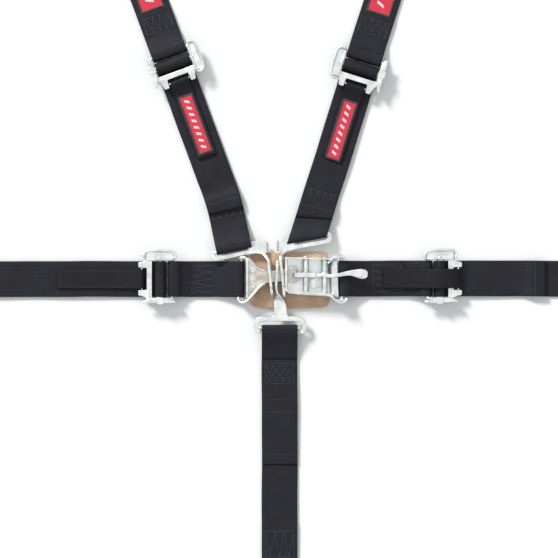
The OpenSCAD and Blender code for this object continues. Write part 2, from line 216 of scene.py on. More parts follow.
beltWebbing = wovenWebbing("black polyester webbing", "050509", "23232f", 1.8, 0.6)
tabWebbing = wovenWebbing("black tab webbing", "030305", "18181f", 1.5, 0.62)
zinc = zincPlate("bright zinc plate", "d4d8d6", 0.34)
bracketZinc = zincPlate("zinc plated bracket steel", "c9cdcc", 0.4)
suede = suedeLeather()
labelRed = wovenLabel()
darkThread = sewingThread("dark bonded thread", "2c2d3a", "4c4d5e")
edgeThread = sewingThread("charcoal edging thread", "1c1c22", "45454f")
whiteThread = sewingThread("white embroidery thread", "dcdcdc", "f6f6f6")
print("materials made")

# mesh helpers


def meshObject(name, verts, faces, material, uv=None, smooth=True):
    # verts in mm; uv is one (u, v) per vertex, in metres
    mesh = bpy.data.meshes.new(name)
    mesh.from_pydata((np.asarray(verts) * mm).tolist(), [], faces)
    mesh.validate()
    if uv is not None:
        layer = mesh.uv_layers.new(name="along")
        index = np.zeros(len(mesh.loops), np.int32)
        mesh.loops.foreach_get("vertex_index", index)
        layer.data.foreach_set("uv", np.asarray(uv, np.float32)[index].ravel())
    mesh.materials.append(material)
    if smooth:
        mesh.polygons.foreach_set("use_smooth", np.ones(len(mesh.polygons), bool))
    obj = bpy.data.objects.new(name, mesh)
    bpy.context.scene.collection.objects.link(obj)
    return obj


def unit(a):
    return a / np.maximum(np.linalg.norm(a, axis=1, keepdims=True), 1e-9)


def gridFaces(rows, cols):
    # quads of a tube of rows rings with cols points each, and its two end caps
    i, j = np.meshgrid(np.arange(rows - 1), np.arange(cols), indexing="ij")
    k = (j + 1) % cols
    quads = np.stack([i * cols + j, i * cols + k, (i + 1) * cols + k, (i + 1) * cols + j], -1)
    faces = quads.reshape(-1, 4).tolist()
    faces.append(list(reversed(range(cols))))
    faces.append([(rows - 1) * cols + c for c in range(cols)])
    return faces


def stripArrays(centre, side, width, thick, corner, across=8, arcs=4, skewed=False):
    # A flat bar with rounded edges carried along centre: each ring is the profile
    # a (W/2 - c) + c b across and d (T/2 - c) + c e up.
    n = len(centre)
    width = np.broadcast_to(np.asarray(width, float), (n,))[:, None]
    thick = np.broadcast_to(np.asarray(thick, float), (n,))[:, None]
    corner = np.minimum(np.minimum(corner, thick / 2), width / 2)
    top = np.linspace(1, -1, across + 1)
    turn = np.linspace(0, math.pi / 2, arcs + 1)
    quarter = [(sx, sz, start) for sx, sz, start in
               ((1, 1, 0), (-1, 1, 90), (-1, -1, 180), (1, -1, 270))]
    a, b, d, e = [], [], [], []
    for q, (sx, sz, start) in enumerate(quarter):
        angle = turn + math.radians(start)
        a.append(np.full(arcs + 1, sx)), d.append(np.full(arcs + 1, sz))
        b.append(np.cos(angle)), e.append(np.sin(angle))
        if q in (0, 2):
            inner = top[1:-1] if q == 0 else -top[1:-1]
            a.append(inner), b.append(np.zeros(across - 1))
            d.append(np.full(across - 1, sz)), e.append(np.full(across - 1, sz))
    a, b, d, e = (np.concatenate(v)[None] for v in (a, b, d, e))
    u = a * (width / 2 - corner) + corner * b
    v = d * (thick / 2 - corner) + corner * e
    tangent = unit(np.gradient(centre, axis=0))
    if not skewed:
        side = unit(side - (side * tangent).sum(1, keepdims=True) * tangent)
    normal = unit(np.cross(tangent, side))
    verts = centre[:, None] + side[:, None] * u[..., None] + normal[:, None] * v[..., None]
    along = np.concatenate([[0], np.cumsum(np.linalg.norm(np.diff(centre, axis=0), axis=1))])
    uv = np.stack([np.broadcast_to(along[:, None], u.shape), u], -1) * mm
    return verts.reshape(-1, 3), gridFaces(n, u.shape[1]), uv.reshape(-1, 2)


def strip(name, centre, side, width, thick, corner, material, across=8, arcs=4, skewed=False):
    verts, faces, uv = stripArrays(centre, side, width, thick, corner, across, arcs, skewed)
    return meshObject(name, verts, faces, material, uv)


def joined(name, parts, material):
    # several (verts, faces, uv) arrays as one mesh
    verts, faces, uvs, start = [], [], [], 0
    for v, f, uv in parts:
        verts.append(v)
        uvs.append(uv)
        faces += [[i + start for i in face] for face in f]
        start += len(v)
    return meshObject(name, np.vstack(verts), faces, material, np.vstack(uvs))


def sweep(keys, thick, corner=0.7, step=1.2, across=6):
    # A bar bent through key places: each key is x, y, z, then its side direction, then width
    line = smoothRoute(keys, step)
    return stripArrays(line[:, :3], unit(line[:, 3:6]), line[:, 6], thick, corner, across, 3)


def smoothRoute(points, step):
    # Catmull-Rom curve through the points, resampled to even steps
    p = np.asarray(points, float)
    p = np.vstack([2 * p[0] - p[1], p, 2 * p[-1] - p[-2]])
    t = np.linspace(0, 1, 12, endpoint=False)[:, None]
    parts = []
    for i in range(1, len(p) - 2):
        a, b, c, d = p[i - 1], p[i], p[i + 1], p[i + 2]
        parts.append(0.5 * (2 * b + (c - a) * t + (2 * a - 5 * b + 4 * c - d) * t ** 2
                            + (3 * b - a - 3 * c + d) * t ** 3))
    line = np.vstack(parts + [p[-2][None]])
    run = np.concatenate([[0], np.cumsum(np.linalg.norm(np.diff(line, axis=0), axis=1))])
    even = np.linspace(0, run[-1], max(int(run[-1] / step), 4) + 1)
    return np.stack([np.interp(even, run, line[:, k]) for k in range(line.shape[1])], 1)


def arcPoints(centre, radius, start, end, count=9):
    angle = np.radians(np.linspace(start, end, count))
    return [(centre[0] + radius * math.cos(a), centre[1] + radius * math.sin(a)) for a in angle]


def straightPlan(place):
    # along, across -> point in the plane, for a strap lying straight from a bar
    x, y, _, angle = place
    ahead = np.array([math.cos(angle), math.sin(angle)])
    left = np.array([-ahead[1], ahead[0]])

    def plan(u):
        u = np.asarray(u, float)[:, None]
        return np.array([x, y]) + u * ahead, np.broadcast_to(left, (len(u), 2))
    return plan


def bentPlan(place, end, straight):
    # straight for a while along the bar's own direction, then turning smoothly to the end's
    x, y, _, angle = place
    ax, ay, _, _ = end
    corner = np.array([x, y]) + straight * np.array([math.cos(angle), math.sin(angle)])
    second = math.atan2(ay - corner[1], ax - corner[0])
    length = straight + math.hypot(ax - corner[0], ay - corner[1])
    s = np.linspace(-60, length + 60, 800)
    blend = np.clip((s - straight + 30) / 60, 0, 1)
    heading = angle + (second - angle) * (blend ** 2 * (3 - 2 * blend))
    step = np.gradient(s)
    px = x + np.cumsum(np.cos(heading) * step) - np.interp(0, s, np.cumsum(np.cos(heading) * step))
    py = y + np.cumsum(np.sin(heading) * step) - np.interp(0, s, np.cumsum(np.sin(heading) * step))

    def plan(u):
        u = np.asarray(u, float)
        h = np.interp(u, s, heading)
        return (np.stack([np.interp(u, s, px), np.interp(u, s, py)], 1),
                np.stack([-np.sin(h), np.cos(h)], 1))
    return plan, length


def skewPlan(place, end, run):
    # a strap that leaves its bar at a slant: the weft stays along the bar, then turns square
    x, y, _, angle = place
    ax, ay, _, _ = end
    length = math.hypot(ax - x, ay - y)
    ahead = np.array([ax - x, ay - y]) / length
    square = np.array([-ahead[1], ahead[0]])
    alongBar = np.array([-math.sin(angle), math.cos(angle)])

    def plan(u):
        u = np.asarray(u, float)[:, None]
        t = np.clip((u - 8) / run, 0, 1)
        t = t * t * (3 - 2 * t)
        left = alongBar * (1 - t) + square * t
        left = left / np.abs((left * square).sum(1, keepdims=True))
        return np.array([x, y]) + u * ahead, left
    return plan, length


def webbing(name, route, plan, width, material, ply=1.3, sway=0.35, seed=0.0, step=2.6,
            skewed=False):
    # A flat strap folded along route (along, up); it sways a little where it lies free.
    line = smoothRoute(route, step)
    flat, left = plan(line[:, 0])
    rng = np.sin(line[:, 0] * 0.031 + seed) + 0.6 * np.sin(line[:, 0] * 0.073 + 2.1 * seed)
    lift = np.clip(0.5 - np.abs(line[:, 1] - 1.2) * 0.2, 0, 0.5) * sway
    centre = np.column_stack([flat + left * (rng * sway * 0.6)[:, None],
                              line[:, 1] + lift * (1 + np.sin(line[:, 0] * 0.05 + seed))])
    side = np.column_stack([left, 0.012 * np.sin(line[:, 0] * 0.043 + 1.7 * seed) * (lift > 0)])
    return strip(name, centre, side, width, ply, ply * 0.48, material, 14, 3, skewed)


def finishPiece(obj, body, slot, *nodes):
    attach(obj, body)
    if nodes:
        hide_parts(*nodes)
    return obj


def stitches(name, points, heading, material, size=(2.6, 0.7, 0.5)):
    # Many small rounded threads: a six-sided capsule of five rings, repeated along points
    points, heading = np.asarray(points, float), unit(np.asarray(heading, float))
    length, wide, high = size
    t = np.array([-0.5, -0.32, 0, 0.32, 0.5])
    fat = np.array([0.25, 0.85, 1.0, 0.85, 0.25])
    ring = np.radians(np.arange(0, 360, 60))
    body = np.stack([np.repeat(t * length, 6), np.outer(fat, np.cos(ring) * wide / 2).ravel(),
                     np.outer(fat, np.sin(ring) * high / 2).ravel()], 1)
    up = np.broadcast_to(np.array([0, 0, 1.0]), points.shape)
    left = unit(np.cross(up, heading))
    lifted = np.cross(heading, left)
    verts = (points[:, None] + heading[:, None] * body[None, :, :1]
             + left[:, None] * body[None, :, 1:2] + lifted[:, None] * body[None, :, 2:])
    base = gridFaces(5, 6)
    faces = [[v + 30 * k for v in f] for k in range(len(points)) for f in base]
    return meshObject(name, verts.reshape(-1, 3), faces, material)


def stitchLine(plan, start, end, height, pitch=3.4):
    # stitch places along a line from (along, across) to (along, across)
    run = math.hypot(end[0] - start[0], end[1] - start[1])
    count = max(int(run / pitch), 1)
    t = (np.arange(count) + 0.5) / count
    u = start[0] + (end[0] - start[0]) * t
    v = start[1] + (end[1] - start[1]) * t
    flat, left = plan(u)
    ahead = np.stack([left[:, 1], -left[:, 0]], 1)
    point = np.column_stack([flat + left * v[:, None], np.full(count, height)])
    direction = (end[0] - start[0]) / run * ahead + (end[1] - start[1]) / run * left
    return point, np.column_stack([direction, np.zeros(count)])


def stitchPattern(name, plan, lines, height, body, slot, material, pitch=3.4):
    made = [stitchLine(plan, a, b, height, pitch) for a, b in lines]
    obj = stitches(name, np.vstack([m[0] for m in made]), np.vstack([m[1] for m in made]),
                   material)
    return finishPiece(obj, body, slot)


def boxStitch(near, far, half, zigzags):
    # a sewn box with a zigzag between its ends
    lines = [((near, -half), (near, half)), ((far, -half), (far, half)),
             ((near, half), (far, half)), ((near, -half), (far, -half))]
    v = np.linspace(-half, half, zigzags + 1)
    for i in range(zigzags):
        a, b = (near, far) if i % 2 == 0 else (far, near)
        lines.append(((a, v[i]), (b, v[i + 1])))
    return lines


# webbing

belt = {"width": 50.0, "ply": 1.3, "barLoop": 3.45, "rollLoop": 6.95, "slide": 1.5,
        "lapTail": 260.0, "rightTail": 128.0, "shoulderTail": 198.0}
# stitches on a doubled strap lie at topHeight, and those on a hem at hemHeight
topHeight = 2.95
hemHeight = 5.45 * belt["ply"]


def barLoop(u, height, facing, slack=0.0):
    # points round a bar: facing -1 wraps its near side, 1 its far side, from top to bottom
    r = belt["barLoop"]
    ends = (90, 270) if facing < 0 else (90, -90)
    loop = arcPoints((0, height), r, *ends)
    return [(u + v * (1 + slack / r), h) for v, h in loop]


def strapBetweenBars(heightA, heightB, length, foldA, foldB, reachA=44, reachB=44,
                     slackA=0.0, slackB=0.0):
    # lower end near A, round A, over the top, round B and back underneath
    p = belt["ply"]
    r = belt["barLoop"]
    start = [(foldA, p / 2), (reachA + 8, p / 2), (reachA, 0.9),
             (reachA * 0.5, (heightA - r) * 0.42), (8, heightA - r - 0.4)]
    top = [(8, heightA + r - 0.8), (reachA * 0.5, heightA * 0.58 + 1.6), (reachA, 1.5 * p + 0.3),
           (reachA + 10, 1.5 * p), (foldA - 2, 1.5 * p), (foldA + 9, p / 2)]
    mid = [(u, p / 2) for u in np.arange(foldA + 24, length - foldB - 20, 22.0)]
    tail = [(length - foldB - 9, p / 2), (length - foldB + 2, 1.5 * p),
            (length - reachB - 10, 1.5 * p), (length - reachB, 1.5 * p + 0.3),
            (length - reachB * 0.5, heightB * 0.58 + 1.6), (length - 8, heightB + r - 0.8)]
    end = [(length - 8, heightB - r - 0.4), (length - reachB * 0.5, (heightB - r) * 0.42),
           (length - reachB, 0.9), (length - reachB - 8, p / 2), (length - foldB, p / 2)]
    if foldA + 24 > length - foldB - 20:
        top, tail = top[:4], tail[2:]
        mid = []
    return (start + barLoop(0, heightA, -1, slackA)[::-1] + top + mid + tail
            + barLoop(length, heightB, 1, slackB) + end)


def hemPoints(tail, base):
    # the loose end folded over twice, from the very end outwards to where it joins the tail
    p = belt["ply"]
    return [(tail + 3, base + 2.4 * p), (tail + 12, base + 2.45 * p),
            (tail + 17, base + 2.2 * p), (tail + 18.2, base + 1.8 * p),
            (tail + 16.5, base + 1.35 * p), (tail + 9, base + 1.25 * p),
            (tail + 2, base + 1.2 * p), (tail - 0.6, base + 0.9 * p),
            (tail + 1.2, base + 0.4 * p), (tail + 6, base + 0.15 * p),
            (tail + 16, base + 0.1 * p), (tail + 19.6, base + 1.1 * p),
            (tail + 19, base + 2.9 * p), (tail + 14, base + 3.5 * p),
            (tail + 4, base + 3.45 * p), (tail - 3, base + 2.6 * p), (tail - 8, base + 0.9 * p),
            (tail - 18, base)]


def rollPoints(height):
    # from the tail, up over the sliding bar and back out underneath
    r = belt["rollLoop"]
    right = arcPoints((0, height), r, -8, 90, 6)
    left = arcPoints((-belt["slide"], height), r, 100, 270, 10)
    return right + left + [(4, height - r + 0.05), (12, height - r - 0.2)]


def rolledRoute(height, tail, far):
    p = belt["ply"]
    hem = hemPoints(tail, 1.5 * p)
    steps = [(u, 1.5 * p) for u in np.arange(tail - 34, 46, -22.0)]
    neck = [(38, 1.55 * p), (24, 2.5), (14, 3.2), (9.2, 4.6)]
    out = [(u, p / 2) for u in np.arange(26, far, 22.0)]
    return hem + steps + neck + rollPoints(height) + out


def makeLapLoop(side, bar, fixed):
    name = f"lap_loop_{side}"
    plan = straightPlan(bar)
    length = math.hypot(fixed[0] - bar[0], fixed[1] - bar[1])
    route = strapBetweenBars(bar[2], fixed[2], length, length * 0.56, length * 0.3, 36, 28,
                             slackB=2.4)
    obj = webbing(name + "_webbing", route, plan, belt["width"], beltWebbing,
                  seed=1.0 if side == "left" else 4.0)
    body = f"loop_{side}"
    finishPiece(obj, body, "polyester_webbing", name)
    near, far = (40, 76) if side == "left" else (44, 84)
    stitchPattern(name + "_stitching", plan, boxStitch(near, far, 19, 8), topHeight, body,
                  "tab_webbing", darkThread)


def makeLapBelt(side, adj, length, tail):
    name = f"lap_belt_{side}"
    plan = straightPlan(adj)
    height = 10.0
    r, p = belt["barLoop"], belt["ply"]
    far = length - 96
    route = rolledRoute(adj[2], tail, far)
    route += [(far, p / 2), (far + 6, p / 2), (far + 18, 1.5 * p), (length - 52, 1.5 * p),
              (length - 40, 2.4), (length - 20, 7.0), (length - 8, height + r - 0.8)]
    route += barLoop(length, height, 1)
    route += [(length - 8, height - r - 0.4), (length - 20, 2.9), (length - 40, 0.9),
              (length - 52, p / 2), (far + 20, p / 2)]
    obj = webbing(name + "_webbing", route, plan, belt["width"], beltWebbing,
                  seed=2.0 if side == "left" else 5.5)
    finishPiece(obj, name, "polyester_webbing", name)
    lines = [((tail + 5, -22), (tail + 5, 22))]
    stitchPattern(name + "_hem_stitching", plan, lines, hemHeight, name,
                  "tab_webbing", darkThread)
    stitchPattern(name + "_end_stitching", plan, boxStitch(far + 24, length - 52, 20, 6), topHeight,
                  name, "tab_webbing", darkThread)


def makeShoulderLower(side, bar, adj, planAndLength):
    name = f"shoulder_lower_{side}"
    body = f"shoulder_belt_{side}"
    plan, length = planAndLength
    p, r, h = belt["ply"], belt["barLoop"], bar[2]
    tail = length - belt["shoulderTail"]
    start = [(72, p / 2), (50, p / 2), (38, 0.9), (20, 2.9), (8, h - r - 0.4)]
    top = [(8, h + r - 0.8), (20, 6.6), (38, 2.5), (50, 1.5 * p), (70, 1.5 * p), (80, p / 2)]
    mid = [(u, p / 2) for u in np.arange(98, length - 20, 22.0)]
    # the roll and the tail run back from the adjuster, so their along is measured from there
    back = rollPoints(adj[2])[::-1] + [(9.2, 4.6), (14, 3.2), (24, 2.5), (38, 1.55 * p)]
    back += [(u, 1.5 * p) for u in np.arange(50, belt["shoulderTail"] - 18, 22.0)]
    back += hemPoints(belt["shoulderTail"], 1.5 * p)[::-1]
    route = start + barLoop(0, h, -1)[::-1] + top + mid
    route += [(length - u, z) for u, z in back]
    obj = webbing(name + "_webbing", route, plan, belt["width"], beltWebbing,
                  seed=3.0 if side == "left" else 7.2, skewed=side == "right")
    finishPiece(obj, body, "polyester_webbing", name)
    hem = tail - 9
    stitchPattern(name + "_hem_stitching", plan, [((hem + 4, -22), (hem + 4, 22))],
                  hemHeight, body, "tab_webbing", darkThread)
    stitchPattern(name + "_loop_stitching", plan, boxStitch(46, 68, 20, 8), topHeight, body,
                  "tab_webbing", darkThread)


def makeShoulderUpper(side, fixed, bracket):
    name = f"shoulder_upper_{side}"
    plan = straightPlan((fixed[0], fixed[1], fixed[2], fixed[3] + math.pi))
    length = math.hypot(bracket[0] - fixed[0], bracket[1] - fixed[1])
    route = strapBetweenBars(fixed[2], bracket[2], length, 60, 96, 28, 44, slackA=2.4)
    obj = webbing(name + "_webbing", route, plan, belt["width"], beltWebbing,
                  seed=6.0 if side == "left" else 8.5)
    body = f"shoulder_strap_{side}"
    finishPiece(obj, body, "polyester_webbing", name)
    stitchPattern(name + "_stitching", plan, boxStitch(34, 56, 20, 8)
                  + boxStitch(length - 90, length - 54, 20, 6), topHeight, body, "tab_webbing",
                  darkThread)
    return plan


def makeCrotchStrap(bar, bracket):
    plan = straightPlan(bar)
    length = math.hypot(bracket[0] - bar[0], bracket[1] - bar[1])
    route = strapBetweenBars(bar[2], bracket[2], length, 182, 96, 44, 44)
    obj = webbing("crotch_strap_webbing", route, plan, belt["width"], beltWebbing, seed=9.1)
    finishPiece(obj, "crotch_belt", "polyester_webbing", "crotch_strap")
    rows = []
    v = np.linspace(-19, 19, 9)
    for base in (52, 64):
        for i in range(8):
            a, b = (base, base + 12) if i % 2 == 0 else (base + 12, base)
            rows.append(((a, v[i]), (b, v[i + 1])))
    rows += [((50, -20), (78, -20)), ((50, 20), (78, 20)), ((50, -20), (50, 20)),
             ((78, -20), (78, 20))]
    stitchPattern("crotch_strap_stitching", plan, rows, topHeight, "crotch_belt",
                  "tab_webbing", darkThread)
    crossRows = [((u, -v), (u, v)) for u, v in ((100, 21), (118, 21), (178, 22))]
    stitchPattern("crotch_strap_cross_rows", plan, crossRows, topHeight, "crotch_belt",
                  "tab_webbing", darkThread, 4.6)
    stitchPattern("crotch_strap_end_stitching", plan, boxStitch(length - 90, length - 54, 20, 6),
                  topHeight, "crotch_belt", "tab_webbing", darkThread)


bars = {"link": placeOf("left_loop_swing"), "latch": placeOf("right_loop_swing"),
        "fitCrotch": placeOf("crotch_strap_swing", -1),
        "bracketCrotch": placeOf("crotch_bracket_swing")}
for side in ("left", "right"):
    for key, joint, sign in (
            ("lapAdj", "lap_belt_swing", 1), ("lapFixed", "lap_adjuster_tilt", -1),
            ("fit", "shoulder_belt_swing", -1), ("adj", "shoulder_adjuster_tilt", -1),
            ("fixed", "shoulder_strap_swing", 1), ("bracketLap", "lap_bracket_swing", 1),
            ("bracketShoulder", "shoulder_bracket_swing", 1)):
        bars[key + side.title()] = placeOf(f"{side}_{joint}", sign)


def between(a, b):
    return math.hypot(bars[a][0] - bars[b][0], bars[a][1] - bars[b][1])


makeLapLoop("left", bars["link"], bars["lapFixedLeft"])
makeLapLoop("right", bars["latch"], bars["lapFixedRight"])
makeLapBelt("left", bars["lapAdjLeft"], between("lapAdjLeft", "bracketLapLeft"), belt["lapTail"])
makeLapBelt("right", bars["lapAdjRight"], between("lapAdjRight", "bracketLapRight"),
            belt["rightTail"])
makeShoulderLower("left", bars["fitLeft"], bars["adjLeft"],
                  bentPlan(bars["fitLeft"], bars["adjLeft"], 70))
makeShoulderLower("right", bars["fitRight"], bars["adjRight"],
                  skewPlan(bars["fitRight"], bars["adjRight"], 44))
upperPlans = {
    "left": makeShoulderUpper("left", bars["fixedLeft"], bars["bracketShoulderLeft"]),
    "right": makeShoulderUpper("right", bars["fixedRight"], bars["bracketShoulderRight"])}
makeCrotchStrap(bars["fitCrotch"], bars["bracketCrotch"])
print("webbing made")

# pull tabs

tab = {"width": 27.0, "ply": 1.25, "barAlong": 25.0, "barHeight": 10.75, "loop": 2.15}


def makePullTab(node, body, adj, length, folded, seed):
    plan = straightPlan(adj)
    x, z, r = tab["barAlong"], tab["barHeight"], tab["loop"]
    if folded:
        over = [(x - 4, 14.2), (x - 9, 16.9), (x - 20, 18.6), (x - 34, 17.9), (x - 56, 11.6),
                (x - 80, 7.6), (x - length, 6.0)]
        route = [(u, h - 0.66) for u, h in over[::-1]] + arcPoints((x, z), r, 170, 390, 9)
        route += [(u + 0.6, h + 0.66) for u, h in over]
    else:
        over = [(x + 3, 11.6), (x + 9, 8.6), (x + 20, 5.2), (x + 34, 4.6), (x + 60, 4.5),
                (x + 90, 4.5), (x + length, 4.5)]
        route = [(u, h - 0.66) for u, h in over[::-1]] + arcPoints((x, z), r, 300, 80, 9)
        route += [(u, h + 0.66) for u, h in over]
    obj = webbing(node + "_webbing", route, plan, tab["width"], tabWebbing, tab["ply"], 0.0,
                  seed, 2.2)
    finishPiece(obj, body, "tab_webbing", node)
    edge = tab["width"] / 2 - 2.2
    if not folded:
        outline = [((x + 24, -edge), (x + length - 4, -edge)),
                   ((x + 24, edge), (x + length - 4, edge)),
                   ((x + length - 4, -edge), (x + length - 4, edge))]
        stitchPattern(node + "_stitching", plan, outline, 5.95, body, "tab_webbing", edgeThread)


makePullTab("pull_tab_lap_left", "lap_tab_left", bars["lapAdjLeft"], 119, False, 0.4)
makePullTab("pull_tab_lap_right", "lap_tab_right", bars["lapAdjRight"], 105, True, 0.9)
makePullTab("pull_tab_shoulder_left", "shoulder_tab_left", bars["adjLeft"], 112, False, 1.5)
makePullTab("pull_tab_shoulder_right", "shoulder_tab_right", bars["adjRight"], 106, False, 2.2)
print("pull tabs made")

# labels

label = {"tabLength": 86.0, "tabWidth": 21.0, "strapLength": 110.0, "strapWidth": 34.0,
         "thick": 0.7, "border": 2.2, "edgePitch": 1.15}


def raised(flat, height):
    return np.column_stack([flat, np.full(len(flat), height)])


def frameAt(plan, u):
    # point, sideways and forward directions at each distance along a strap
    flat, aside = plan(u)
    return flat, aside, np.stack([aside[:, 1], -aside[:, 0]], 1)


def makeLabel(node, body, plan, start, length, width, height, barCount):
    centreU = np.linspace(start, start + length, 40)
    flat, left = plan(centreU)
    obj = strip(node + "_cloth", raised(flat, height), raised(left, 0), width, label["thick"],
                0.3, labelRed, 10, 2)
    finishPiece(obj, body, "red_label", node)
    half, top = width / 2, height + label["thick"] / 2
    inset = label["border"] / 2
    # overlocked edge: short threads lying across the border all the way round
    rows = []
    pitch = label["edgePitch"]
    for v in (-half + inset, half - inset):
        u = np.arange(start + 0.6, start + length, pitch)
        p, aside, ahead = frameAt(plan, u)
        rows.append((raised(p + aside * v, top), raised(aside * 0.96 + ahead * 0.28, 0)))
    for u0 in (start + inset, start + length - inset):
        v = np.arange(-half + 0.6, half, pitch)
        p, aside, ahead = frameAt(plan, np.full(len(v), u0))
        rows.append((raised(p + aside * v[:, None], top), raised(ahead * 0.96 + aside * 0.28, 0)))
    edge = stitches(node + "_edging", np.vstack([r[0] for r in rows]),
                    np.vstack([r[1] for r in rows]), edgeThread,
                    (label["border"] + 0.9, 1.25, 0.9))
    finishPiece(edge, body, "tab_webbing")
    # plain slanted bars of embroidery, in place of any lettering
    u = start + length * (np.arange(barCount) + 1.0) / (barCount + 1)
    p, aside, ahead = frameAt(plan, u)
    shift = np.linspace(-0.5, 0.5, 7)
    points = (p[:, None] + ahead[:, None] * (shift * 3.2)[None, :, None]).reshape(-1, 2)
    heads = np.repeat(aside * 0.9 + ahead * 0.42, 7, axis=0)
    motif = stitches(node + "_embroidery", raised(points, top), raised(heads, 0), whiteThread,
                     (width * 0.38, 0.75, 0.6))
    finishPiece(motif, body, "red_label")


for side, adj in (("left", bars["adjLeft"]), ("right", bars["adjRight"])):
    makeLabel(f"tab_label_{side}", f"shoulder_tab_{side}", straightPlan(adj), 46,
              label["tabLength"], label["tabWidth"], 6.15, 8)
    makeLabel(f"strap_label_{side}", f"shoulder_strap_{side}", upperPlans[side], 65,
              label["strapLength"], label["strapWidth"], 1.75, 7)
print("labels made")

# leather pad

pad = {"rings": 14, "around": 240, "swell": 0.25, "squareness": 9.0}


def makePad():
    low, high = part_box("leather_pad")
    cx, cy = (low.x + high.x) / 2 / mm, (low.y + high.y) / 2 / mm
    hx, hy, t = (high.x - low.x) / 2 / mm, (high.y - low.y) / 2 / mm, high.z / mm
    n = pad["around"]
    # outline: a rounded rectangle by arc length, side by side
    angle = np.linspace(0, math.tau, n, endpoint=False)
    power = pad["squareness"]
    reach = (np.abs(np.cos(angle)) ** power + np.abs(np.sin(angle)) ** power) ** (-1 / power)
    outline = np.stack([np.cos(angle) * reach * hx, np.sin(angle) * reach * hy], 1)
    wobble = 1 - 0.004 * (1 + np.sin(5 * angle + 1)) - 0.003 * (1 + np.sin(11 * angle))
    outline *= wobble[:, None]
    inward = np.concatenate([np.linspace(0.02, 0.97, pad["rings"]), [0.985, 0.996, 1.0, 1.0, 0.996,
                            0.985], np.linspace(0.97, 0.02, 5)])
    up = np.concatenate([np.full(pad["rings"], t), [t - 0.12, t - 0.5, t - 1.1, 1.0, 0.45, 0.1],
                         np.zeros(5)])
    xy = outline[None] * inward[:, None, None]
    puff = pad["swell"] * (np.sin(xy[..., 0] * 0.11 + 1) * np.cos(xy[..., 1] * 0.13) - 1)
    z = up[:, None] + np.where(up[:, None] > 2, puff * 0.5, 0)
    verts = np.concatenate([xy + np.array([cx, cy]), z[..., None]], -1).reshape(-1, 3)
    # the rings run outwards over the top and back in underneath, so the faces turn over
    faces = [f[::-1] for f in gridFaces(len(inward), n)]
    obj = meshObject("suede_pad", verts, faces, suede)
    finishPiece(obj, "buckle", "suede_leather", "leather_pad")


makePad()
print("pad made")

# stamped steel


def stampedCopy(node, edge, material, slot, segments=3):
    # the CAD part's own mesh, merged and with its edges rolled over
    mesh = frame["nodes"][node].data.copy()
    mesh.name = node + "_steel"
    work = bmesh.new()
    work.from_mesh(mesh)
    bmesh.ops.remove_doubles(work, verts=work.verts, dist=0.00002)
    bmesh.ops.dissolve_limit(work, angle_limit=math.radians(1.5), verts=work.verts,
                             edges=work.edges)
    work.to_mesh(mesh)
    work.free()
    mesh.materials.clear()
    mesh.materials.append(material)
    obj = bpy.data.objects.new(node + "_steel", mesh)
    bpy.context.scene.collection.objects.link(obj)
    bevel = obj.modifiers.new("edge", "BEVEL")
    bevel.width = edge * mm
    bevel.segments = segments
    bevel.limit_method = "ANGLE"
    bevel.angle_limit = math.radians(35)
    bevel.use_clamp_overlap = True
    bevel.harden_normals = True
    mesh.polygons.foreach_set("use_smooth", np.ones(len(mesh.polygons), bool))
    body = next(b for b, ns in frame["record"]["behaviour"]["bodies"].items() if node in ns)
    return finishPiece(obj, body, slot, node)


fitting = {"thick": 2.5, "edge": 4.4, "upright": 3.8, "halfWindow": 13.0, "ringMid": 4.6,
           "ringWide": 3.0, "blade": 12.2, "tipRound": 6.1}
tongue = jointByName["left_fitting_swing"]
tongueAxis = np.array(tongue["axis"])
tongueMid = np.array(tongue["pos_m"]) / mm
acrossTongue = np.array([-tongueAxis[1], tongueAxis[0], 0.0])
upward = np.array([0, 0, 1.0])


def onTongue(a, b, c, ahead=tongueAxis, sideways=acrossTongue):
    # a along the tongue, b across it, c up from its middle plane
    return tongueMid + a * ahead + b * sideways + c * upward


def loopWindow(a, ahead, sideways):
    # upright closed ring round the tongue's window: a long O of strip steel
    h, r = fitting["halfWindow"], fitting["ringMid"]
    turn = np.radians(np.linspace(-90, 90, 13))
    right = np.stack([h + r * np.cos(turn), r * np.sin(turn)], 1)
    left = np.stack([-h - r * np.cos(turn), -r * np.sin(turn)], 1)
    loop = np.vstack([right, left, right[:2]])
    line = smoothRoute(loop, 1.5)
    tangent = unit(np.gradient(line, axis=0))
    centre = (tongueMid + a * ahead + line[:, :1] * sideways + line[:, 1:] * upward)
    side = -tangent[:, 1:] * sideways + tangent[:, :1] * upward
    return stripArrays(centre, side, fitting["ringWide"], fitting["upright"], 0.6, 4, 3)


def bladeEnd(a, tip, ahead, sideways):
    # solid end of the loop, past the window, with a rounded tip
    b = np.linspace(-fitting["halfWindow"] - 4.0, tip, 14)
    left = b - tip
    rise = 1 - np.clip(left / fitting["tipRound"], 0, 1)
    wide = fitting["blade"] * np.sqrt(np.clip(1 - rise ** 2, 0.05, 1))
    centre = tongueMid + a * ahead + b[:, None] * sideways
    return stripArrays(centre, np.broadcast_to(upward, centre.shape), wide, fitting["upright"],
                       0.6, 6, 3)


def barRing(place, keys, width):
    # strip steel lying flat round the webbing slot; keys are (along, across, drop)
    x, y, z, angle = place
    ahead = np.array([math.cos(angle), math.sin(angle)])
    left = np.array([-ahead[1], ahead[0]])
    line = smoothRoute(keys, 1.2)
    flat = np.array([x, y]) + line[:, :1] * ahead + line[:, 1:2] * left
    tangent = unit(np.gradient(flat, axis=0))
    side = np.column_stack([-tangent[:, 1], tangent[:, 0], np.zeros(len(flat))])
    centre = np.column_stack([flat, z - line[:, 2]])
    return stripArrays(centre, side, width, fitting["thick"], 0.9, 6, 4)


